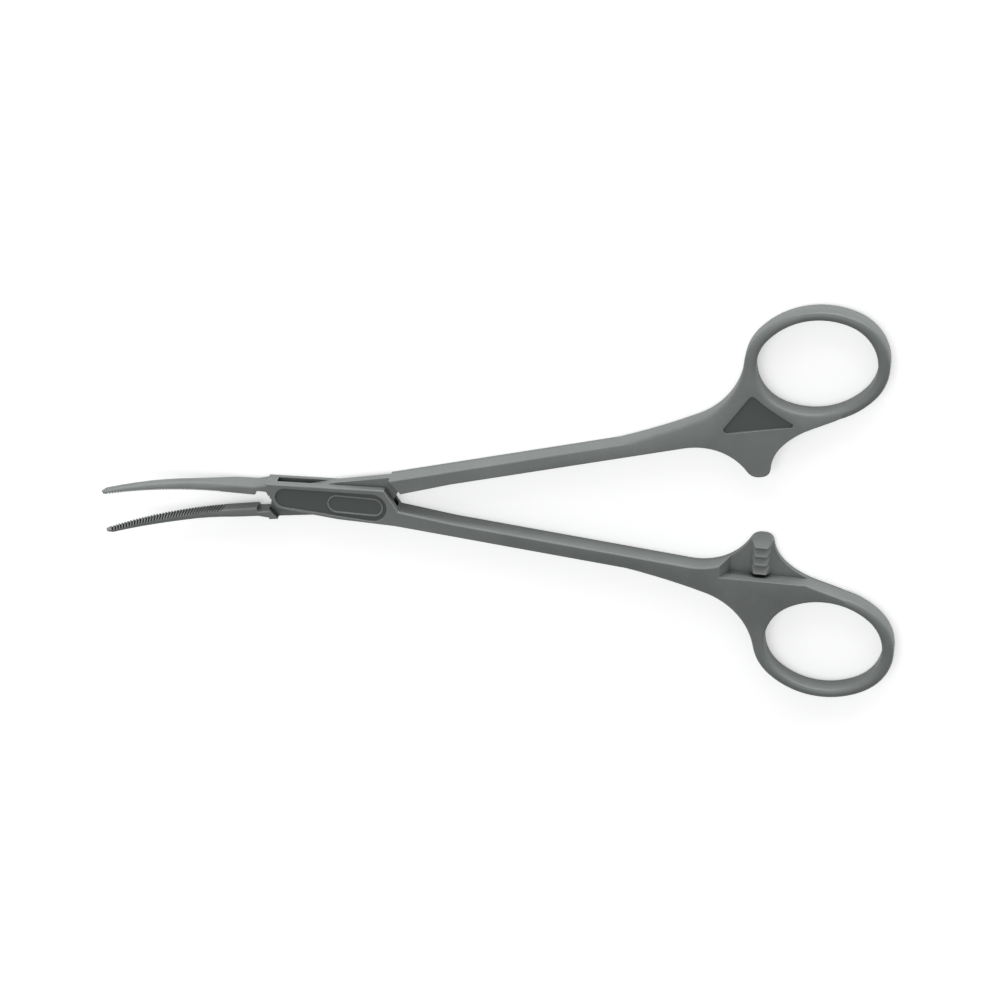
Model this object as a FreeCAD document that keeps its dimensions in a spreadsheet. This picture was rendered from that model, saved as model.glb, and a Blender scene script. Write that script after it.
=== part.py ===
import FreeCAD, Part
import math
import os
import Sketcher

# Curved hemostat forceps with a box lock, lying on its back
# X runs along the closed jaws' midline with the jaws at -X, Z points to the marked face
# The pivot's axis is Z through the origin, and z = 0 is the back of the lock
# Both halves are drawn closed, and each is then turned by half of the resting opening

SIZES = {
    # Moulded plate and rest pose
    "plate": 5.2,
    "opening": 10.0,
    "edge_bevel": 0.2,
    # Shanks, from the lock to the finger rings
    "shank_inner_offset": 0.17,
    "shank_outer_offset": 3.45,
    "shank_slope": 5.45,
    "shank_start": 27.0,
    "shank_end": 82.0,
    "stem_end": 92.0,
    # Finger rings
    "ring_along": 114.0,
    "ring_aside": 25.5,
    "ring_bore_long": 27.3,
    "ring_bore_short": 22.6,
    "ring_wall_long": 2.75,
    "ring_wall_short": 2.25,
    "ring_tilt": 5.5,
    "ring_round": 0.95,
    # Flank, the shank's outer edge that swells into the finger ring
    "flank_start": 64.0,
    "flank_lead": 22.0,
    "flank_inset": 1.3,
    # Ratchet arms
    "arm_tip_width": 5.3,
    "arm_centre": 98.3,
    "arm_overlap": 0.45,
    "arm_plate": 1.55,
    "arm_step": 10.0,
    "arm_step_start": 89.0,
    "arm_ramp": 2.4,
    "tooth_pitch": 2.25,
    "tooth_count": 4,
    "tooth_lead": 2.75,
    "tooth_depth": 1.0,
    "tooth_height": 3.5,
    "tooth_crest_width": 2.8,
    "tooth_root_width": 5.2,
    # Box lock
    "lock_left": 16.3,
    "lock_right": 13.5,
    "lock_lean": 33.0,
    "lock_head": 2.9,
    "lock_side": 4.35,
    "lock_foot": 3.15,
    "lock_heel": 4.25,
    "lock_corner": 0.95,
    "rear_wall": 1.15,
    "slot_height": 2.25,
    "slot_gap": 0.4,
    "tongue_gap": 0.1,
    "handle_shoulder": 2.35,
    "jaw_shoulder": 0.8,
    # Pivot pin
    "pin_diameter": 3.2,
    "pin_length": 4.2,
    "pin_clearance": 0.05,
    "pin_chamfer": 0.25,
    # Jaws
    "jaw_tip": 54.3,
    "jaw_straight": 26.5,
    "jaw_bend": 54.0,
    "jaw_level": 3.45,
    "jaw_root": 15.5,
    "jaw_neck": 19.5,
    "jaw_neck_depth": 2.25,
    "jaw_taper_start": 25.0,
    "jaw_height": 3.5,
    "jaw_keel": 1.35,
    "jaw_depth": 2.15,
    "jaw_taper": 2.0,
    "nose_length": 1.1,
    "nose_height": 2.3,
    "nose_depth": 1.0,
    "tip_height": 1.2,
    "tip_depth": 0.55,
    "jaw_bow": 0.1,
    "jaw_spare": 0.4,
    "jaw_meet": 0.04,
    "notch_end": 19.4,
    "notch_depth": 1.1,
    "serration_count": 40,
    "serration_angle": 0.72,
    "serration_start": 1.5,
    "serration_lean": 12.0,
    "serration_width": 0.42,
    "serration_depth": 0.32,
    "serration_reach": 9.0,
    # Recesses for marks, left bare
    "recess_depth": 0.45,
    "panel_left": 12.3,
    "panel_right": 8.0,
    "panel_left_aside": 0.1,
    "panel_right_aside": 0.5,
    "panel_left_radius": 2.55,
    "panel_right_radius": 3.5,
    "frame_left": 0.2,
    "frame_right": 8.3,
    "frame_aside": 0.45,
    "frame_radius": 2.3,
    "frame_rim": 0.32,
    "frame_height": 0.22,
}

doc = FreeCAD.newDocument("hemostat")
sheet = doc.addObject("Spreadsheet::Sheet", "Sizes")
for row, (alias, number) in enumerate(SIZES.items(), start=1):
    sheet.set(f"A{row}", alias)
    sheet.set(f"B{row}", str(number))
    sheet.setAlias(f"B{row}", alias)
doc.recompute()


class Size:
    """A driving size, or a sum made from such sizes: its number and its expression."""

    def __init__(self, value, text):
        self.value = value
        self.text = text

    def __add__(self, other):
        other = as_size(other)
        return Size(self.value + other.value, f"({self.text} + {other.text})")

    def __sub__(self, other):
        other = as_size(other)
        return Size(self.value - other.value, f"({self.text} - {other.text})")

    def __mul__(self, other):
        other = as_size(other)
        return Size(self.value * other.value, f"({self.text} * {other.text})")

    def __truediv__(self, other):
        other = as_size(other)
        return Size(self.value / other.value, f"({self.text} / {other.text})")

    def __neg__(self):
        return Size(-self.value, f"(0 - {self.text})")


def as_size(number):
    return number if isinstance(number, Size) else Size(float(number), repr(float(number)))


def size(alias):
    return Size(float(sheet.get(alias)), f"Sizes.{alias}")


def tangent(angle):
    return Size(math.tan(math.radians(angle.value)), f"tan({angle.text})")


def cosine(angle):
    return Size(math.cos(math.radians(angle.value)), f"cos({angle.text})")


def bind(feature, prop, wanted):
    feature.setExpression(prop, as_size(wanted).text)


# Sketches

def plane_of(body, role):
    return next(item for item in body.Origin.OriginFeatures if item.Role == role)


def new_sketch(body, name, role="XY_Plane", level=0, turn=None):
    """A sketch on one of the body's own planes, raised by level along its normal."""
    sketch = body.newObject("Sketcher::SketchObject", name)
    sketch.AttachmentSupport = [(plane_of(body, role), "")]
    sketch.MapMode = "FlatFace"
    sketch.AttachmentOffset = turn or FreeCAD.Placement()
    bind(sketch, "AttachmentOffset.Base.z", level)
    return sketch


def point(x, y):
    return FreeCAD.Vector(as_size(x).value, as_size(y).value, 0)


def pin_down(sketch, edge, end, x, y):
    """Holds one end of an edge at its bound place."""
    for kind, wanted in (("DistanceX", as_size(x)), ("DistanceY", as_size(y))):
        rule = sketch.addConstraint(Sketcher.Constraint(kind, -1, 1, edge, end, wanted.value))
        sketch.setExpression(f"Constraints[{rule}]", wanted.text)


def draw_polygon(sketch, corners):
    first = None
    for number, corner in enumerate(corners):
        following = corners[(number + 1) % len(corners)]
        edge = sketch.addGeometry(Part.LineSegment(point(*corner), point(*following)))
        first = edge if first is None else first
        pin_down(sketch, edge, 1, *corner)
    for number in range(len(corners)):
        after = (number + 1) % len(corners)
        sketch.addConstraint(Sketcher.Constraint("Coincident", first + number, 2, first + after, 1))


def draw_circle(sketch, x, y, radius):
    edge = sketch.addGeometry(Part.Circle(point(x, y), FreeCAD.Vector(0, 0, 1), as_size(radius).value))
    pin_down(sketch, edge, 3, x, y)
    rule = sketch.addConstraint(Sketcher.Constraint("Radius", edge, as_size(radius).value))
    sketch.setExpression(f"Constraints[{rule}]", as_size(radius).text)


def way(heading):
    """The direction of a heading in degrees."""
    return FreeCAD.Vector(math.cos(math.radians(heading)), math.sin(math.radians(heading)), 0)


def draw_line(sketch, start, end):
    sketch.addGeometry(Part.LineSegment(start, end))


def draw_arc(sketch, start, heading, end):
    """The arc that leaves start along the heading and stops at end."""
    span = end - start
    radius = span.dot(span) / (2 * way(heading + 90).dot(span))
    centre = start + way(heading + 90) * radius
    outward = ((start + end) * 0.5 - centre).normalize()
    sketch.addGeometry(Part.Arc(start, centre + outward * abs(radius), end))


def draw_bend(sketch, start, start_heading, end, end_heading, share=1.0):
    """Two arcs that touch, leaving start and arriving at end along the given headings."""
    leaving = way(start_heading)
    arriving = way(end_heading)
    span = end - start
    square = 2 * share * (leaving.dot(arriving) - 1)
    linear = -2 * span.dot(leaving * share + arriving)
    run = (-linear - math.sqrt(linear ** 2 - 4 * square * span.dot(span))) / (2 * square)
    first = start + leaving * (share * run)
    second = end - arriving * run
    joint = first + (second - first) * (share / (share + 1))
    draw_arc(sketch, start, start_heading, joint)
    draw_arc(sketch, end, end_heading + 180, joint)


# Features

BROAD_BEVEL = 2 - math.sqrt(2)
NARROW_BEVEL = math.tan(math.radians(22.5)) - math.tan(math.radians(11.25))


def pad(body, name, sketch, length, upward=True):
    feature = body.newObject("PartDesign::Pad", name)
    feature.Profile = sketch
    feature.Reversed = not upward
    bind(feature, "Length", length)
    body.Tip = feature
    doc.recompute()
    return feature


def pocket(body, name, sketch, length, upward=False, symmetric=False):
    """Cuts the sketch's area away and stops if nothing was cut."""
    before = body.Shape.Volume
    feature = body.newObject("PartDesign::Pocket", name)
    feature.Profile = sketch
    feature.Reversed = upward
    if symmetric:
        feature.SideType = "Symmetric"
    bind(feature, "Length", length)
    body.Tip = feature
    doc.recompute()
    if body.Shape.Volume >= before:
        raise ValueError(f"{name} cut nothing")
    return feature


def bevelled(body, name, wanted, reach):
    """Cuts an even bevel along the wanted edges of the body's tip and all that run on from them."""
    base = body.Tip
    edges = edges_where(body, wanted)
    feature = body.newObject("PartDesign::Chamfer", name)
    feature.Base = (base, edges)
    bind(feature, "Size", reach)
    body.Tip = feature
    doc.recompute()
    return feature


def crowned(body, name, near, radius):
    """Three bevels that touch a round of the given radius, along the rims that near picks."""
    levels = [as_size(0), plate]
    broad = radius * BROAD_BEVEL
    bevelled(body, f"{name}_broad", lambda edge: near(edge) and lies_on(edge, levels), broad)
    levels += [broad, plate - broad]
    bevelled(body, f"{name}_narrow", lambda edge: near(edge) and lies_on(edge, levels), radius * NARROW_BEVEL)


def edges_where(body, wanted):
    return [f"Edge{number}" for number, edge in enumerate(body.Tip.Shape.Edges, start=1) if wanted(edge)]


def lies_on(edge, levels):
    """Whether the edge lies flat at one of the levels."""
    box = edge.BoundBox
    return any(max(abs(box.ZMin - level.value), abs(box.ZMax - level.value)) < 0.001 for level in levels)


# Sizes that several pieces share

plate = size("plate")
shank_rise = tangent(size("shank_slope"))
lock_slant = tangent(size("lock_lean"))
tongue_bottom = size("rear_wall") + size("tongue_gap")
tongue_top = size("rear_wall") + size("slot_height") - size("tongue_gap")
bend_height = size("jaw_level") + size("jaw_bend")
pin_radius = size("pin_diameter") / 2
ring_tilt = size("ring_tilt")
bore_long = size("ring_bore_long") / 2
bore_short = size("ring_bore_short") / 2
rim_long = bore_long + size("ring_wall_long")
rim_short = bore_short + size("ring_wall_short")


def shank_inner(x):
    return size("shank_inner_offset") + as_size(x) * shank_rise


def shank_outer(x):
    return size("shank_outer_offset") + as_size(x) * shank_rise


# Finger ring, an oval of four arcs that touch

OVAL_BLUNTNESS = 1.09


class Oval:
    """Two end arcs and two flatter side arcs about the ring's centre, leaning by the ring's tilt."""

    def __init__(self, side, long_radius, short_radius):
        self.side = side
        self.end_radius = short_radius.value ** 2 / long_radius.value * OVAL_BLUNTNESS
        self.end_shift = long_radius.value - self.end_radius
        spare = short_radius.value - self.end_radius
        self.side_shift = (self.end_shift ** 2 - spare ** 2) / (2 * spare)
        self.side_radius = short_radius.value + self.side_shift
        self.join = math.degrees(math.atan2(self.side_shift, self.end_shift))

    def spot(self, angle):
        """The place where the oval's outward direction has this angle from its long axis."""
        turn = (angle + 180) % 360 - 180
        if abs(turn) < self.join or abs(turn) > 180 - self.join:
            centre = FreeCAD.Vector(math.copysign(self.end_shift, 90 - abs(turn)), 0, 0)
            radius = self.end_radius
        else:
            centre = FreeCAD.Vector(0, -math.copysign(self.side_shift, turn), 0)
            radius = self.side_radius
        local = centre + way(turn) * radius
        tilt = ring_tilt.value
        place = point(size("ring_along"), size("ring_aside")) + way(tilt) * local.x + way(tilt + 90) * local.y
        return FreeCAD.Vector(place.x, self.side * place.y, 0)

    def draw(self, sketch, first, last):
        """The arcs from one angle clockwise to another."""
        joins = [180 - self.join, self.join, -self.join, self.join - 180, -180 - self.join]
        angles = [first] + [angle for angle in joins if last < angle < first] + [last]
        for start, end in zip(angles, angles[1:]):
            sketch.addGeometry(Part.Arc(self.spot(start), self.spot((start + end) / 2), self.spot(end)))


# Outline of one half, drawn for a handle at +Y and mirrored by side

FLANK_TURN = 162.5
FLANK_RISE = 3.5
FLANK_SHARE = 1.1
HIDDEN_TURN = -115.0
ARM_LEAN = 62.0
ARM_RETURN = 80.0
ARM_SHARES = (0.6, 3.5, 0.25, 1.6, 0.95)
LEFT_CHEEK = 1.46
RIGHT_CHEEK = 1.76
WEB_CORNER = (106.52, 8.55, 30.4)
WEB_FOOT = (116.64, 12.24, 17.5)
WEB_CURL = 8.0
WEB_CURL_END = 75.0


def stem_corners():
    """The stem's straight part, from its outer edge round the lock to its inner edge."""
    head_x = -size("lock_left") + size("lock_head") * lock_slant
    heel_x = size("lock_right") - size("lock_heel") * lock_slant
    corner_x = size("lock_right") + size("lock_corner") * lock_slant
    left_x = -size("lock_left") - size("notch_depth") * lock_slant
    return [
        (size("stem_end"), shank_outer(size("stem_end"))),
        (size("lock_right"), shank_outer(size("lock_right"))),
        (as_size(0), size("lock_side")),
        (head_x, size("lock_head")),
        (left_x, -size("notch_depth")),
        (left_x, -size("lock_foot")),
        (heel_x, -size("lock_heel")),
        (corner_x, size("lock_corner")),
        (size("shank_start"), shank_inner(size("shank_start"))),
        (size("shank_end"), shank_inner(size("shank_end"))),
    ]


def draw_stem(sketch, side):
    """Shank, lock, ratchet arm and web. The web ends hidden inside the finger ring."""
    corners = [(x, y * side) for x, y in stem_corners()]
    for start, end in zip(corners, corners[1:]):
        edge = sketch.addGeometry(Part.LineSegment(point(*start), point(*end)))
        pin_down(sketch, edge, 1, *start)
        pin_down(sketch, edge, 2, *end)
    half_tip = size("arm_tip_width").value / 2
    centre = size("arm_centre").value
    tip = -size("arm_overlap").value
    inner_end = stem_corners()[-1]
    stations = [
        (inner_end[0].value, inner_end[1].value, size("shank_slope").value),
        (centre - half_tip, tip + LEFT_CHEEK, -ARM_LEAN),
        (centre, tip, 0.0),
        (centre + half_tip, tip + RIGHT_CHEEK, ARM_RETURN),
        WEB_CORNER,
        WEB_FOOT,
    ]
    for start, end, share in zip(stations, stations[1:], ARM_SHARES):
        draw_bend(sketch, point(start[0], start[1] * side), start[2] * side,
                  point(end[0], end[1] * side), end[2] * side, share)
    foot = point(WEB_FOOT[0], WEB_FOOT[1] * side)
    heading = WEB_FOOT[2] * side
    curl = way(heading + 90 * side) * WEB_CURL
    curl_end = foot + curl - way((WEB_CURL_END + 90) * side) * WEB_CURL
    draw_arc(sketch, foot, heading, curl_end)
    draw_line(sketch, curl_end, point(*corners[0]))


def draw_grip(sketch, side):
    """The flank and the finger ring's rim, closed by lines hidden inside the stem."""
    rise = size("shank_slope").value + FLANK_RISE
    rim = Oval(side, rim_long, rim_short)
    start = point(size("flank_start"), shank_outer(size("flank_start")) * side)
    flank = rim.spot(FLANK_TURN)
    heading = (FLANK_TURN - 90 + ring_tilt.value) * side
    hidden = start - way(rise * side) * size("flank_lead").value
    heel = hidden - way(90 * side) * size("flank_inset").value
    draw_line(sketch, hidden, start)
    draw_bend(sketch, start, rise * side, flank, heading, FLANK_SHARE)
    rim.draw(sketch, FLANK_TURN, HIDDEN_TURN)
    draw_line(sketch, rim.spot(HIDDEN_TURN), heel)
    draw_line(sketch, heel, hidden)


# Jaws, lofted through sections square to the bend

ROOT_ROUND = 0.12
NECK_ROUND = 0.25
JAW_ROUND = 0.9
NECK_LIFT = 0.2
START_ROUND = 0.35
ROUND_GAIN = 2.0
KEEL_FADE = 4
JAW_SPANS = 9


def jaw_station(distance):
    """Where the bent midline runs at a distance along X: its angle, its rise and its place."""
    past = max(distance - size("jaw_straight").value, 0.0)
    angle = math.degrees(math.asin(past / size("jaw_bend").value))
    rise = size("jaw_bend").value * (1 - math.cos(math.radians(angle)))
    return angle, rise


def draw_corner(sketch, before, corner, after, reach):
    """An arc that rounds a corner and touches both of its sides. Gives back its two ends."""
    first = (before - corner).normalize()
    second = (after - corner).normalize()
    half = first.getAngle(second) / 2
    inward = (first + second).normalize()
    nearest = corner + inward * (reach / math.cos(half) - reach * math.tan(half))
    ends = corner + first * reach, corner + second * reach
    sketch.addGeometry(Part.Arc(ends[0], nearest, ends[1]))
    return ends


def jaw_section(body, name, side, distance, low, high, keel, back, round_share):
    """One section: rounded at the back, with a square edge that reaches past the gripping plane.

    Its back runs down to the keel, which lies below the gripping face's own lower edge.
    """
    angle, rise = jaw_station(distance)
    middle = size("jaw_level").value + rise
    turn = FreeCAD.Rotation(FreeCAD.Vector(0, 1, 0), angle)
    to_yz = FreeCAD.Rotation(FreeCAD.Vector(0, 1, 0), FreeCAD.Vector(0, 0, 1), FreeCAD.Vector(1, 0, 0), "ZXY")
    place = FreeCAD.Placement(FreeCAD.Vector(-distance, 0, middle), turn * to_yz)
    sketch = body.newObject("Sketcher::SketchObject", name)
    sketch.AttachmentSupport = [(plane_of(body, "XY_Plane"), "")]
    sketch.MapMode = "FlatFace"
    sketch.AttachmentOffset = place
    spare = size("jaw_spare").value
    front = side * spare
    spine = -side * back
    reach = min(back, (high - keel) / 2) * round_share
    front_low = point(front, low + (low - keel) * spare / back)
    front_high = point(front, high)
    upper = draw_corner(sketch, front_high, point(spine, high), point(spine, keel), reach)
    lower = draw_corner(sketch, point(spine, high), point(spine, keel), front_low, reach)
    draw_line(sketch, front_low, front_high)
    draw_line(sketch, front_high, upper[0])
    draw_line(sketch, upper[1], lower[0])
    draw_line(sketch, lower[1], front_low)
    return sketch


def tapered(share, root, nose):
    """A jaw size between its root and its nose, shrinking faster towards the nose."""
    return root + (nose - root) * share ** size("jaw_taper").value


def add_jaw(body, side):
    """The jaw as one loft: square at the lock, then D-shaped and thinner towards the tip."""
    level = size("jaw_level").value
    top = plate.value - level
    tip = size("jaw_tip").value
    start = size("jaw_taper_start").value
    nose = tip - size("nose_length").value
    grip = size("jaw_height").value
    deep = size("jaw_keel").value
    sections = [
        jaw_section(body, "jaw_root", side, size("jaw_root").value, top - grip, top, -level,
                    size("lock_foot").value, ROOT_ROUND),
        jaw_section(body, "jaw_neck", side, size("jaw_neck").value, top - grip, top, NECK_LIFT - level,
                    size("jaw_neck_depth").value, NECK_ROUND),
    ]
    for number in range(JAW_SPANS + 1):
        share = number / JAW_SPANS
        half = tapered(share, grip, size("nose_height").value) / 2
        keel = -half - deep * (1 - share) ** KEEL_FADE
        depth = tapered(share, size("jaw_depth").value, size("nose_depth").value)
        roundness = min(JAW_ROUND, START_ROUND + ROUND_GAIN * share)
        sections.append(jaw_section(body, f"jaw_{number}", side, start + (nose - start) * share,
                                    -half, half, keel, depth, roundness))
    half_tip = size("tip_height").value / 2
    sections.append(jaw_section(body, "jaw_tip_end", side, tip, -half_tip, half_tip, -half_tip,
                                size("tip_depth").value, JAW_ROUND))
    feature = body.newObject("PartDesign::AdditiveLoft", "jaw")
    feature.Profile = sections[0]
    feature.Sections = sections[1:]
    feature.Ruled = True
    body.Tip = feature
    doc.recompute()
    plan = new_sketch(body, "gripping_plane")
    root = -size("lock_left") - size("jaw_shoulder")
    clear_tip = -size("jaw_tip") * 2
    clear_side = size("jaw_spare") * 3 * side
    slope = (size("jaw_bow") - size("jaw_meet")) / (size("jaw_tip") - size("lock_left") - size("jaw_shoulder"))
    draw_polygon(plan, [
        (root, clear_side),
        (root, -size("jaw_bow") * side),
        (clear_tip, (-size("jaw_bow") + (root - clear_tip) * slope) * side),
        (clear_tip, clear_side),
    ])
    pocket(body, "gripping_face", plan, bend_height, upward=True)


GROOVE_MOUTH = 3


def cut_serrations(body, side):
    """V grooves across the gripping face, repeated about the centre of the bend."""
    centre = FreeCAD.Placement(FreeCAD.Vector(-size("jaw_straight").value, bend_height.value, 0),
                               FreeCAD.Rotation())
    axis = new_sketch(body, "bend_axis", "XZ_Plane", 0, centre)
    bind(axis, "AttachmentOffset.Base.x", -size("jaw_straight"))
    bind(axis, "AttachmentOffset.Base.y", bend_height)
    axis.addGeometry(Part.LineSegment(point(0, 0), point(1, 0)), True)
    start = size("serration_start")
    lean = start.value - size("serration_lean").value
    place = FreeCAD.Placement(
        FreeCAD.Vector(-size("jaw_straight").value - size("jaw_bend").value * math.sin(math.radians(start.value)), 0,
                       bend_height.value - size("jaw_bend").value * math.cos(math.radians(start.value))),
        FreeCAD.Rotation(FreeCAD.Vector(0, 1, 0), lean))
    groove = body.newObject("Sketcher::SketchObject", "groove_profile")
    groove.AttachmentSupport = [(plane_of(body, "XY_Plane"), "")]
    groove.MapMode = "FlatFace"
    groove.AttachmentOffset = place
    half_width = size("serration_width") / 2
    mouth = half_width * GROOVE_MOUTH
    clear_side = size("jaw_bow") * 2 * side
    draw_polygon(groove, [
        (-mouth, clear_side),
        (mouth, clear_side),
        (half_width, (-size("jaw_meet")) * side),
        (as_size(0), (-(size("jaw_bow") + size("serration_depth"))) * side),
        (-half_width, (-size("jaw_meet")) * side),
    ])
    cut = pocket(body, "groove", groove, size("serration_reach"), symmetric=True)
    pattern = body.newObject("PartDesign::PolarPattern", "serrations")
    pattern.Originals = [cut]
    pattern.Axis = (axis, ["N_Axis"])
    pattern.Mode = "Spacing"
    bind(pattern, "Offset", size("serration_angle"))
    bind(pattern, "Occurrences", size("serration_count"))
    body.Tip = pattern
    doc.recompute()
    return pattern


# What both halves share

def add_blank(body, side):
    """The moulded plate: a stem with crisp edges joined to a finger grip with soft ones."""
    faces = [as_size(0), plate]
    stem = new_sketch(body, "stem_outline")
    draw_stem(stem, side)
    pad(body, "stem_pad", stem, plate)
    bevelled(body, "stem_edges", lambda edge: lies_on(edge, faces), size("edge_bevel"))
    grip = doc.addObject("PartDesign::Body", body.Name + "_grip")
    rim = new_sketch(grip, "grip_outline")
    draw_grip(rim, side)
    pad(grip, "grip_pad", rim, plate)
    middle = (size("ring_along") + bore_long / 2).value
    far = (size("ring_along") + bore_long + size("ring_round")).value
    crowned(grip, "grip_edges", lambda edge: edge.BoundBox.XMin > middle, size("ring_round"))
    join = body.newObject("PartDesign::Boolean", "grip_join")
    join.Type = "Fuse"
    join.addObjects([grip])
    body.Tip = join
    doc.recompute()
    bore = new_sketch(body, "ring_bore")
    Oval(side, bore_long, bore_short).draw(bore, 180, -180)
    pocket(body, "ring_pocket", bore, plate, upward=True)
    crowned(body, "bore_edges", lambda edge: edge.BoundBox.XMin > middle and edge.BoundBox.XMax < far,
            size("ring_round"))


def lean_line(x, y):
    """Where a line that leans like the lock's ends stands at the height y."""
    return x + as_size(y) * lock_slant


NOTCH_REACH = 0.6
NOTCH_LEAN = 0.4


def add_notch(body, side):
    """The step behind the gripping face, down to the root of the jaw."""
    sketch = new_sketch(body, "jaw_notch")
    draw_polygon(sketch, [
        (-size("notch_end") - NOTCH_LEAN, as_size(NOTCH_REACH * side)),
        (-size("notch_end"), -size("notch_depth") * side),
        (lean_line(-size("lock_left"), -size("notch_depth")), -size("notch_depth") * side),
        (lean_line(-size("lock_left"), NOTCH_REACH), as_size(NOTCH_REACH * side)),
    ])
    pocket(body, "notch", sketch, size("jaw_level") * 2, upward=True)


def draw_band(sketch, left, right, lean):
    """A band across the lock between two leaning lines."""
    reach = size("lock_left")
    draw_polygon(sketch, [
        (left - reach * lean, -reach),
        (right - reach * lean, -reach),
        (right + reach * lean, reach),
        (left + reach * lean, reach),
    ])


# Ratchet arm: a thin plate with a column of saw teeth that face the other arm

def faced(side, height):
    """A height above the arm's own outer face: the back for one half, the front for the other."""
    return as_size(height) if side < 0 else plate - height


CLEARANCE = 1.0
TIP_LEDGE = 0.6


def cut_arm(body, side):
    """Thins the arm from one face and leaves the column of saw teeth standing."""
    clear = plate + CLEARANCE
    floor = size("arm_plate")
    crest = size("tooth_height")
    middle = size("arm_centre")
    crest_half = size("tooth_crest_width") / 2
    root_half = size("tooth_root_width") / 2
    start = size("arm_step_start")
    far = size("ring_along")
    sketch = new_sketch(body, "arm_recess_profile", "XZ_Plane", size("arm_step") * -side)
    draw_polygon(sketch, [
        (start - CLEARANCE, faced(side, clear)),
        (start, faced(side, plate)),
        (start + size("arm_ramp"), faced(side, floor)),
        (middle - root_half, faced(side, floor)),
        (middle - crest_half, faced(side, crest)),
        (middle - crest_half, faced(side, clear)),
    ])
    draw_polygon(sketch, [
        (far, faced(side, clear)),
        (far, faced(side, floor)),
        (middle + root_half, faced(side, floor)),
        (middle + crest_half, faced(side, crest)),
        (middle + crest_half, faced(side, clear)),
    ])
    pocket(body, "arm_recess", sketch, size("arm_step") * 1.5, upward=side > 0)
    tip = -size("arm_overlap") * side
    lead_end = tip + size("tooth_lead") * side
    pitch = size("tooth_pitch") * side
    root = crest - size("tooth_depth")
    corners = [
        (tip - CLEARANCE * side, faced(side, clear)),
        (tip - CLEARANCE * side, faced(side, TIP_LEDGE)),
        (tip, faced(side, TIP_LEDGE)),
        (lead_end, faced(side, crest)),
    ]
    teeth = int(size("tooth_count").value)
    for number in range(1, teeth):
        corners.append((lead_end + pitch * (number - 1), faced(side, root)))
        corners.append((lead_end + pitch * number, faced(side, crest)))
    corners += [
        (lead_end + pitch * (teeth - 1), faced(side, floor)),
        (size("arm_step") * side, faced(side, floor)),
        (size("arm_step") * side, faced(side, clear)),
    ]
    teeth_sketch = new_sketch(body, "teeth_profile", "YZ_Plane", middle)
    draw_polygon(teeth_sketch, corners)
    pocket(body, "ratchet_teeth", teeth_sketch, size("tooth_root_width") + CLEARANCE, symmetric=True)


def draw_tapered_slot(sketch, left, left_aside, left_radius, right, right_aside, right_radius):
    """Two arcs of their own radius joined by the lines that touch both."""
    first = point(left, left_aside)
    second = point(right, right_aside)
    small = as_size(left_radius).value
    large = as_size(right_radius).value
    span = second - first
    heading = math.atan2(span.y, span.x)
    spread = math.acos((small - large) / span.Length)
    upper = FreeCAD.Vector(math.cos(heading + spread), math.sin(heading + spread), 0)
    lower = FreeCAD.Vector(math.cos(heading - spread), math.sin(heading - spread), 0)
    back = FreeCAD.Vector(math.cos(heading), math.sin(heading), 0)
    sketch.addGeometry(Part.LineSegment(first + upper * small, second + upper * large))
    sketch.addGeometry(Part.Arc(second + upper * large, second + back * large, second + lower * large))
    sketch.addGeometry(Part.LineSegment(second + lower * large, first + lower * small))
    sketch.addGeometry(Part.Arc(first + lower * small, first - back * small, first + upper * small))


# Badge recess, as places and headings round its outline

BADGE = [
    (92.4, 11.0, 1.6),
    (106.5, 11.4, 1.6),
    (107.1, 12.4, 142.0),
    (99.7, 19.3, 130.0),
    (98.2, 19.4, 226.7),
    (91.7, 12.5, 226.7),
]


def draw_badge(sketch):
    """A triangle with rounded corners, its far side bowed inwards."""
    for start, end in zip(BADGE, BADGE[1:] + BADGE[:1]):
        if start[2] == end[2]:
            draw_line(sketch, point(start[0], start[1]), point(end[0], end[1]))
        else:
            draw_bend(sketch, point(start[0], start[1]), start[2], point(end[0], end[1]), end[2])


def new_body(name, side):
    body = doc.addObject("PartDesign::Body", name)
    body.Label = name
    axis = FreeCAD.Vector(0, 0, side)
    body.Placement = FreeCAD.Placement(FreeCAD.Vector(), FreeCAD.Rotation(axis, size("opening").value / 2))
    bind(body, "Placement.Rotation.Angle", size("opening") / 2)
    return body


def build_female():
    """The half whose lock is a box: two walls with a slot between them for the tongue."""
    body = new_body("female_half", -1)
    add_blank(body, -1)
    add_jaw(body, -1)
    cut_serrations(body, -1)
    add_notch(body, -1)
    gap = size("slot_gap") / cosine(size("lock_lean"))
    slot = new_sketch(body, "slot_plan", level=size("rear_wall"))
    draw_band(slot, -size("lock_left") - gap, size("lock_right") + gap, lock_slant)
    pocket(body, "slot", slot, size("slot_height"), upward=True)
    hole = new_sketch(body, "pin_seat")
    draw_circle(hole, 0, 0, pin_radius)
    pocket(body, "pin_hole", hole, size("pin_length"), upward=True)
    panel = new_sketch(body, "panel_outline", level=plate)
    draw_tapered_slot(panel, -size("panel_left"), -size("panel_left_aside"), size("panel_left_radius"),
                      size("panel_right"), -size("panel_right_aside"), size("panel_right_radius"))
    pocket(body, "panel", panel, size("recess_depth"))
    frame = new_sketch(body, "frame_outline", level=plate - size("recess_depth"))
    aside = -size("frame_aside")
    inner = size("frame_radius") - size("frame_rim")
    draw_tapered_slot(frame, -size("frame_left"), aside, size("frame_radius"),
                      size("frame_right"), aside, size("frame_radius"))
    draw_tapered_slot(frame, -size("frame_left"), aside, inner, size("frame_right"), aside, inner)
    pad(body, "frame", frame, size("frame_height"))
    cut_arm(body, -1)
    return body


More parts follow.
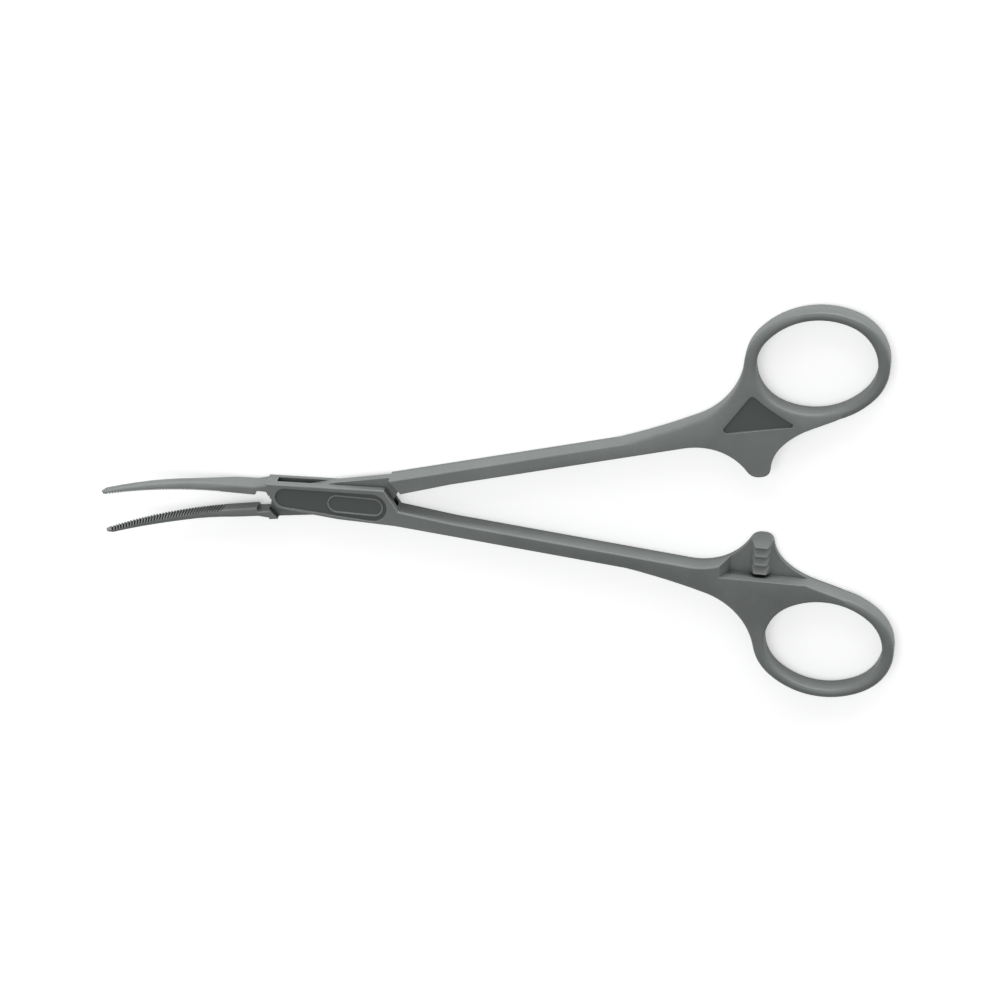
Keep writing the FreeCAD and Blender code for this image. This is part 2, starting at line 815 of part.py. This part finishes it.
def build_male():
    """The half whose lock is a tongue that runs through the box."""
    body = new_body("male_half", 1)
    add_blank(body, 1)
    add_jaw(body, 1)
    cut_serrations(body, 1)
    add_notch(body, 1)
    left = -size("lock_left") - size("jaw_shoulder")
    right = size("lock_right") + size("handle_shoulder")
    back = new_sketch(body, "tongue_back")
    draw_band(back, left, right, -lock_slant)
    pocket(body, "tongue_back_cut", back, tongue_bottom, upward=True)
    front = new_sketch(body, "tongue_front", level=tongue_top)
    draw_band(front, left, right, -lock_slant)
    pocket(body, "tongue_front_cut", front, plate - tongue_top, upward=True)
    hole = new_sketch(body, "pin_bore")
    draw_circle(hole, 0, 0, pin_radius + size("pin_clearance"))
    pocket(body, "pin_hole", hole, plate, upward=True)
    badge = new_sketch(body, "badge_outline", level=plate)
    draw_badge(badge)
    pocket(body, "badge", badge, size("recess_depth"))
    cut_arm(body, 1)
    return body


def build_pin():
    """The pivot pin, pressed into both walls of the box and free in the tongue."""
    body = new_body("pivot_pin", -1)
    section = new_sketch(body, "pin_section")
    draw_circle(section, 0, 0, pin_radius)
    post = pad(body, "pin_pad", section, size("pin_length"))
    rims = edges_where(body, lambda edge: edge.Closed)
    chamfer = body.newObject("PartDesign::Chamfer", "pin_ends")
    chamfer.Base = (post, rims)
    bind(chamfer, "Size", size("pin_chamfer"))
    body.Tip = chamfer
    doc.recompute()
    return body


pieces = [build_female(), build_male(), build_pin()]

failed = [item.Name for item in doc.Objects if {"Invalid", "Error"} & set(item.State)]
if failed:
    raise ValueError(f"failed objects: {failed}")
os.makedirs("parts", exist_ok=True)
for piece in pieces:
    if piece.Shape.isNull() or not piece.Shape.isValid():
        raise ValueError(f"{piece.Label} has no valid shape")
    print(piece.Label, round(piece.Shape.Volume, 2), "mm3", len(piece.Shape.Solids), "solid")
    piece.Shape.exportStep(f"parts/{piece.Label}.step")
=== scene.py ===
import bmesh
import bpy
from math import cos, radians, sin
from mathutils import Matrix, Vector


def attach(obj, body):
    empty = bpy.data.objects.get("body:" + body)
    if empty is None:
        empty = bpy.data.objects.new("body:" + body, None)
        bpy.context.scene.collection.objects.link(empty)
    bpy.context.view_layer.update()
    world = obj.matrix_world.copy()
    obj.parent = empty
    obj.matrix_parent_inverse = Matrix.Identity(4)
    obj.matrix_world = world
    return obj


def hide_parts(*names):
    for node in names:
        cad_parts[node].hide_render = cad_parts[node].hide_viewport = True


# A moulded polymer hemostat that lies on its back on a pale sheet, seen from above
# Metres throughout, in the part's own frame

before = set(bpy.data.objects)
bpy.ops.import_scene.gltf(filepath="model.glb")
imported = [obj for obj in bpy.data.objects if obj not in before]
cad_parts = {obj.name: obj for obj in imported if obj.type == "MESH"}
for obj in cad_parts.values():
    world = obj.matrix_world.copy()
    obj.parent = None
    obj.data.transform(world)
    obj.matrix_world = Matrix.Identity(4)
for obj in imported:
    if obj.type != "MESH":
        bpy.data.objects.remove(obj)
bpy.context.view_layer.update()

# Camera, as fitted to the photograph: a long lens that looks down past the finger rings
CAMERA_PLACE = Vector((0.1715, 0.37158, 0.73129))
CAMERA_RIGHT = Vector((0.98675, -0.05924, -0.15107))
CAMERA_BACK = Vector((0.16151, 0.4482, 0.87922))
LENS_MM = 129.6
SENSOR_MM = 36.0
NEAR_LIMIT = 0.05
FAR_LIMIT = 20.0

# Base colours, linear
POLYMER = (0.155, 0.168, 0.164)
POLYMER_DARK = (0.128, 0.141, 0.137)
POLYMER_PALE = (0.42, 0.435, 0.43)
RECESS = (0.062, 0.072, 0.069)
# Painted shade for crevices, gaps and the spaces between the parts
CREVICE_SHADE = (0.012, 0.014, 0.0135)
# Painted shade for the walls of the grooves
GROOVE_SHADE = (0.022, 0.026, 0.025)
FLOOR = (0.86, 0.87, 0.865)

# The moulded surface: clouds, specks and pebbling
MOTTLE = 90.0
MOTTLE_RANGE = (0.35, 0.68)
GRAIN = 2600.0
SPECK_RANGE = (0.6, 0.8)
SPECK_SHARE = 0.25
SHEEN_RANGE = (0.3, 0.7)
ROUGHNESS_RANGE = (0.42, 0.55)
PEBBLE_STRENGTH = 0.12
PEBBLE_RELIEF = 0.00004

# Painted highlights along the edges and painted shade in the crevices
EDGE_REACH = 0.0002
EDGE_HIGHLIGHT = 0.55
EDGE_RANGE = (0.995, 0.86)
EDGE_SAMPLES = 6
CREVICE_REACH = 0.003
CREVICE_RANGE = (0.22, 0.7)
CREVICE_SHARE = 0.97
CREVICE_SAMPLES = 8

# Each half's turn at rest, the recess floors and the bend of the jaws
RESTING_TURN = {"female_half": radians(5), "male_half": radians(-5)}
RECESS_LEVEL = 0.00475
LEVEL_SLACK = 0.00006
FACES_UP = 0.9
BEND_ALONG = -0.0265
BEND_HEIGHT = 0.05745
BEND_RADIUS = 0.054
WELD_REACH = 0.0000002
SHARP_ANGLE = radians(30)

# Grooves across the gripping faces
GROOVE_COUNT = 40
GROOVE_START = radians(1.5)
GROOVE_ANGLE = radians(0.72)
GROOVE_LEAN = radians(12)
GROOVE_REACH = 0.0045
GROOVE_HALF_WIDTH = 0.000232
GROOVE_DEPTH = 0.00042

# Low and high corners of the closing strips, in each half's own frame
BOX_STRIPS = (
    ((-0.016, -0.00045, 0.0047), (-0.0149, 0.0008, 0.005201)),
    ((-0.0148, -0.00045, 0.0044), (-0.0012, 0.0008, 0.004751)),
    ((-0.0158, -0.00045, 0.00001), (-0.0125, 0.0008, 0.0009)),
    ((-0.0277, 0.000105, 0.00166), (-0.0195, 0.0006, 0.00519)),
)
TONGUE_STRIPS = (
    ((-0.0163, -0.0008, 0.00126), (-0.0019, 0.00045, 0.003301)),
    ((-0.0277, -0.0006, 0.00166), (-0.0195, -0.000105, 0.00519)),
)
BOX_FACES = (
    (3, 2, 1, 0), (4, 5, 6, 7), (0, 1, 5, 4), (1, 2, 6, 5), (2, 3, 7, 6), (3, 0, 4, 7),
)

# The sheet that the part lies on
FLOOR_REACH = 6.0
FLOOR_LEVEL = -0.00005
FLOOR_GLOW = 0.42

# Lamps: name, place, size and power, all aimed at one point
LAMP_AIM = (0.04, 0.0, 0.0)
LAMPS = (
    ("key_lamp", (0.02, 1.3, 0.55), (1.2, 0.6), 4.5),
    ("low_lamp", (0.45, 1.2, 0.13), (2.0, 0.22), 19.0),
    ("top_lamp", (-0.25, 0.15, 1.6), (1.0, 1.0), 7.6),
    ("side_lamp", (-1.4, -0.3, 0.6), (0.8, 0.8), 2.0),
)
SKY_STRENGTH = 0.35


def look_from(place, right, back):
    """A camera matrix from its place and the two directions that set its view."""
    back = back.normalized()
    right = (right - back * right.dot(back)).normalized()
    up = back.cross(right)
    turn = Matrix((right, up, back)).transposed().to_4x4()
    return Matrix.Translation(place) @ turn


def add_camera():
    data = bpy.data.cameras.new("camera")
    data.lens = LENS_MM
    data.sensor_width = SENSOR_MM
    data.clip_start = NEAR_LIMIT
    data.clip_end = FAR_LIMIT
    camera = bpy.data.objects.new("camera", data)
    camera.matrix_world = look_from(CAMERA_PLACE, CAMERA_RIGHT, CAMERA_BACK)
    bpy.context.scene.collection.objects.link(camera)
    bpy.context.scene.camera = camera


# Shader building

class Nodes:
    """A material's node tree with short calls for making and joining nodes."""

    def __init__(self, name):
        self.material = bpy.data.materials.new(name)
        self.material.use_nodes = True
        self.tree = self.material.node_tree
        self.tree.nodes.clear()

    def add(self, kind, **values):
        node = self.tree.nodes.new(kind)
        for name, value in values.items():
            if name in node.bl_rna.properties:
                setattr(node, name, value)
            else:
                node.inputs[name.replace("_", " ")].default_value = value
        return node

    def join(self, source, output, target, socket):
        self.tree.links.new(source.outputs[output], target.inputs[socket])


def ramp_between(nodes, source, output, low, high, low_value=0.0, high_value=1.0):
    node = nodes.add("ShaderNodeMapRange", clamp=True)
    node.inputs["From Min"].default_value = low
    node.inputs["From Max"].default_value = high
    node.inputs["To Min"].default_value = low_value
    node.inputs["To Max"].default_value = high_value
    nodes.join(source, output, node, "Value")
    return node


def mix_colours(nodes, share, share_output, first, second):
    node = nodes.add("ShaderNodeMix", data_type="RGBA")
    nodes.join(share, share_output, node, "Factor")
    for index, colour in ((6, first), (7, second)):
        if isinstance(colour, tuple):
            node.inputs[index].default_value = (*colour, 1.0)
        else:
            nodes.tree.links.new(colour.outputs[2], node.inputs[index])
    return node


def calculate(nodes, operation, first, second):
    """One sum of two values, each a number or a node's output."""
    node = nodes.add("ShaderNodeMath", operation=operation)
    for index, term in enumerate((first, second)):
        if isinstance(term, tuple):
            nodes.join(term[0], term[1], node, index)
        else:
            node.inputs[index].default_value = term
    return node, "Value"


def turned(nodes, place, output, angle):
    """A vector of the object turned to the half's own straight line, as its three parts."""
    turn = nodes.add("ShaderNodeVectorRotate", rotation_type="Z_AXIS", Angle=angle)
    nodes.join(place, output, turn, "Vector")
    parts = nodes.add("ShaderNodeSeparateXYZ")
    nodes.join(turn, "Vector", parts, "Vector")
    return parts


def recess_share(nodes, spot, facing):
    """One on the flat floors of the recesses, nothing elsewhere."""
    off_level = calculate(nodes, "SUBTRACT", (spot, "Z"), RECESS_LEVEL)
    height = calculate(nodes, "ABSOLUTE", off_level, 0.0)
    level = calculate(nodes, "LESS_THAN", height, LEVEL_SLACK)
    upward = calculate(nodes, "GREATER_THAN", (facing, "Z"), FACES_UP)
    return calculate(nodes, "MULTIPLY", level, upward)


def moulded_polymer(name, turn, edge_reach, edge_highlight, base=POLYMER, dark=POLYMER_DARK):
    """Glass-filled moulding polymer: cloudy grey, finely pebbled, with painted highlights along
    its edges and painted shade in its crevices.
    """
    nodes = Nodes(name)
    place = nodes.add("ShaderNodeTexCoord")
    spot = turned(nodes, place, "Object", turn)
    way = turned(nodes, place, "Normal", turn)
    cloud = nodes.add("ShaderNodeTexNoise", Scale=MOTTLE, Detail=4.0, Roughness=0.6)
    nodes.join(place, "Object", cloud, "Vector")
    cloud_share = ramp_between(nodes, cloud, "Fac", *MOTTLE_RANGE)
    mottled = mix_colours(nodes, cloud_share, "Result", dark, base)

    grain = nodes.add("ShaderNodeTexNoise", Scale=GRAIN, Detail=3.0, Roughness=0.7)
    nodes.join(place, "Object", grain, "Vector")
    speck_share = ramp_between(nodes, grain, "Fac", *SPECK_RANGE, 0.0, SPECK_SHARE)
    specked = mix_colours(nodes, speck_share, "Result", mottled, POLYMER_PALE)
    floors = recess_share(nodes, spot, way)
    floored = mix_colours(nodes, *floors, specked, RECESS)

    geometry = nodes.add("ShaderNodeNewGeometry")
    bevel = nodes.add("ShaderNodeBevel", samples=EDGE_SAMPLES, Radius=edge_reach)
    facing = nodes.add("ShaderNodeVectorMath", operation="DOT_PRODUCT")
    nodes.join(geometry, "Normal", facing, 0)
    nodes.join(bevel, "Normal", facing, 1)
    # Painted highlight: the colour turns paler along every edge, where the bevel normal bends
    # away from the face's own normal
    highlight_share = ramp_between(nodes, facing, "Value", *EDGE_RANGE, 0.0, edge_highlight)
    edged = mix_colours(nodes, highlight_share, "Result", floored, POLYMER_PALE)
    # Painted shade: the colour darkens towards near black where ambient occlusion finds nearby
    # surfaces, in crevices, gaps and between the parts
    openness = nodes.add(
        "ShaderNodeAmbientOcclusion", samples=CREVICE_SAMPLES, Distance=CREVICE_REACH
    )
    shade_share = ramp_between(nodes, openness, "AO", *CREVICE_RANGE, CREVICE_SHARE, 0.0)
    coloured = mix_colours(nodes, shade_share, "Result", edged, CREVICE_SHADE)

    shader = nodes.add("ShaderNodeBsdfPrincipled")
    nodes.tree.links.new(coloured.outputs[2], shader.inputs["Base Color"])
    roughness = ramp_between(nodes, cloud, "Fac", *SHEEN_RANGE, *ROUGHNESS_RANGE)
    nodes.join(roughness, "Result", shader, "Roughness")

    bump = nodes.add("ShaderNodeBump", Strength=PEBBLE_STRENGTH, Distance=PEBBLE_RELIEF)
    nodes.join(grain, "Fac", bump, "Height")
    nodes.join(bevel, "Normal", bump, "Normal")
    nodes.join(bump, "Normal", shader, "Normal")
    output = nodes.add("ShaderNodeOutputMaterial")
    nodes.join(shader, "BSDF", output, "Surface")
    return nodes.material


# Grooved jaws: a copy of each half, cut across its gripping face, which the solid leaves smooth

def groove_cutter(side, turn, polymer):
    """A row of V-shaped bars that fan out about the centre of the jaw's bend."""
    bars = bmesh.new()
    lay = Matrix.Rotation(-turn, 3, "Z")
    inward = Vector((0, -side * GROOVE_DEPTH, 0))
    for number in range(GROOVE_COUNT):
        angle = GROOVE_START + GROOVE_ANGLE * number
        lean = angle - GROOVE_LEAN
        middle_along = BEND_ALONG - BEND_RADIUS * sin(angle)
        middle_height = BEND_HEIGHT - BEND_RADIUS * cos(angle)
        middle = Vector((middle_along, 0, middle_height))
        along = Vector((sin(lean), 0, cos(lean))) * GROOVE_REACH
        across = Vector((cos(lean), 0, -sin(lean))) * GROOVE_HALF_WIDTH
        section = (middle - across, middle + across, middle + inward)
        low = [bars.verts.new(lay @ (corner - along)) for corner in section]
        high = [bars.verts.new(lay @ (corner + along)) for corner in section]
        bars.faces.new(low)
        bars.faces.new(high)
        for first, second in ((0, 1), (1, 2), (2, 0)):
            bars.faces.new((low[first], low[second], high[second], high[first]))
    bmesh.ops.recalc_face_normals(bars, faces=bars.faces)
    mesh = bpy.data.meshes.new("groove_cutter")
    bars.to_mesh(mesh)
    bars.free()
    mesh.materials.append(polymer)
    cutter = bpy.data.objects.new("groove_cutter", mesh)
    bpy.context.scene.collection.objects.link(cutter)
    return cutter


def welded_copy(source):
    """The node's mesh with its doubled corners joined, so that it can be cut."""
    skin = bmesh.new()
    skin.from_mesh(source)
    bmesh.ops.remove_doubles(skin, verts=skin.verts, dist=WELD_REACH)
    skin.verts.index_update()
    corners = [vert.co for vert in skin.verts]
    faces = [[vert.index for vert in face.verts] for face in skin.faces]
    mesh = bpy.data.meshes.new(source.name + "_welded")
    mesh.from_pydata(corners, [], faces)
    skin.free()
    return mesh


def shade_by_angle(mesh):
    """Smooth over shallow edges only."""
    skin = bmesh.new()
    skin.from_mesh(mesh)
    for face in skin.faces:
        face.smooth = True
    for edge in skin.edges:
        edge.smooth = edge.is_manifold and edge.calc_face_angle() < SHARP_ANGLE
    skin.to_mesh(mesh)
    skin.free()


def add_grooved_half(node, side, body, polymer, groove_shade_polymer):
    """Stands for the node: the same half with its gripping face grooved."""
    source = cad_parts[node]
    piece = bpy.data.objects.new(node + "_grooved", welded_copy(source.data))
    piece.matrix_world = source.matrix_world
    bpy.context.scene.collection.objects.link(piece)
    piece.data.materials.append(polymer)
    cutter = groove_cutter(side, RESTING_TURN[node], groove_shade_polymer)
    cut = piece.modifiers.new("grooves", "BOOLEAN")
    cut.operation = "DIFFERENCE"
    cut.solver = "EXACT"
    # The cut faces take the groove material, which is painted almost black as the shade inside
    # the grooves
    cut.material_mode = "TRANSFER"
    cut.object = cutter
    depsgraph = bpy.context.evaluated_depsgraph_get()
    mesh = bpy.data.meshes.new_from_object(piece.evaluated_get(depsgraph))
    piece.modifiers.clear()
    piece.data = mesh
    bpy.data.objects.remove(cutter)
    shade_by_angle(mesh)
    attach(piece, body)
    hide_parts(node)


def dress():
    """Each half in the same polymer, with its own line for the recess floors."""
    polymers = {}
    for name, turn in RESTING_TURN.items():
        polymers[name] = moulded_polymer(name + "_polymer", turn, EDGE_REACH, EDGE_HIGHLIGHT)
    polymers["pivot_pin"] = polymers["female_half"]
    for name, polymer in polymers.items():
        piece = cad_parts[name]
        piece.data.materials.clear()
        piece.data.materials.append(polymer)
    return polymers


# Closing strips over the slit along the middle of the lock and the grooves behind the jaws

def box_corners(low, high, turn):
    """The eight corners of a box that lies along the half's own line."""
    corners = []
    for z in (low[2], high[2]):
        for x, y in ((low[0], low[1]), (high[0], low[1]), (high[0], high[1]), (low[0], high[1])):
            corners.append((x * cos(turn) - y * sin(turn), x * sin(turn) + y * cos(turn), z))
    return corners


def add_seam_strips(node, strips, body):
    """Flush strips that hide the slit and the misplaced grooves of one half's solid."""
    turn = RESTING_TURN[node]
    verts = []
    faces = []
    for low, high in strips:
        first = len(verts)
        verts += box_corners(low, high, -turn)
        faces += [tuple(first + corner for corner in face) for face in BOX_FACES]
    name = node + "_seam"
    mesh = bpy.data.meshes.new(name)
    mesh.from_pydata(verts, [], faces)
    piece = bpy.data.objects.new(name, mesh)
    bpy.context.scene.collection.objects.link(piece)
    mesh.materials.append(moulded_polymer(name + "_polymer", turn, 0.0, 0.0))
    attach(piece, body)


# Floor and light

def add_floor():
    """A pale sheet that shows white to the camera where the light falls on it."""
    mesh = bpy.data.meshes.new("floor")
    corners = [
        (x * FLOOR_REACH, y * FLOOR_REACH, FLOOR_LEVEL)
        for x, y in ((-1, -1), (1, -1), (1, 1), (-1, 1))
    ]
    mesh.from_pydata(corners, [], [(0, 1, 2, 3)])
    floor = bpy.data.objects.new("floor", mesh)
    bpy.context.scene.collection.objects.link(floor)
    nodes = Nodes("floor_sheet")
    sheet = nodes.add("ShaderNodeBsdfDiffuse")
    sheet.inputs["Color"].default_value = (*FLOOR, 1.0)
    lift = nodes.add("ShaderNodeEmission", Strength=FLOOR_GLOW)
    both = nodes.add("ShaderNodeAddShader")
    rays = nodes.add("ShaderNodeLightPath")
    seen = nodes.add("ShaderNodeMath", operation="MAXIMUM")
    seen_or_reflected = nodes.add("ShaderNodeMath", operation="MAXIMUM")
    choose = nodes.add("ShaderNodeMixShader")
    output = nodes.add("ShaderNodeOutputMaterial")
    nodes.join(rays, "Is Camera Ray", seen, 0)
    nodes.join(rays, "Is Glossy Ray", seen, 1)
    nodes.join(seen, "Value", seen_or_reflected, 0)
    nodes.join(rays, "Is Transmission Ray", seen_or_reflected, 1)
    nodes.join(sheet, "BSDF", both, 0)
    nodes.join(lift, "Emission", both, 1)
    nodes.join(seen_or_reflected, "Value", choose, 0)
    nodes.join(sheet, "BSDF", choose, 1)
    nodes.join(both, "Shader", choose, 2)
    nodes.join(choose, "Shader", output, "Surface")
    mesh.materials.append(nodes.material)


def add_lamp(name, place, size, power):
    data = bpy.data.lights.new(name, "AREA")
    data.shape = "RECTANGLE"
    data.size = size[0]
    data.size_y = size[1]
    data.energy = power
    lamp = bpy.data.objects.new(name, data)
    lamp.location = place
    lamp.rotation_euler = (Vector(LAMP_AIM) - Vector(place)).to_track_quat("-Z", "Y").to_euler()
    bpy.context.scene.collection.objects.link(lamp)


def set_world():
    world = bpy.data.worlds.new("world")
    world.use_nodes = True
    background = world.node_tree.nodes["Background"]
    background.inputs["Color"].default_value = (1.0, 1.0, 1.0, 1.0)
    background.inputs["Strength"].default_value = SKY_STRENGTH
    bpy.context.scene.world = world


add_camera()
polymers = dress()
# The groove walls' material: the same polymer with painted shade, near black
grooves = moulded_polymer("groove_shade_polymer", 0.0, 0.0, 0.0, GROOVE_SHADE, CREVICE_SHADE)
add_grooved_half("female_half", -1, "box_side", polymers["female_half"], grooves)
add_grooved_half("male_half", 1, "tongue_side", polymers["male_half"], grooves)
add_seam_strips("female_half", BOX_STRIPS, "box_side")
add_seam_strips("male_half", TONGUE_STRIPS, "tongue_side")
add_floor()
for lamp_row in LAMPS:
    add_lamp(*lamp_row)
set_world()
bpy.context.scene.view_settings.view_transform = "Standard"
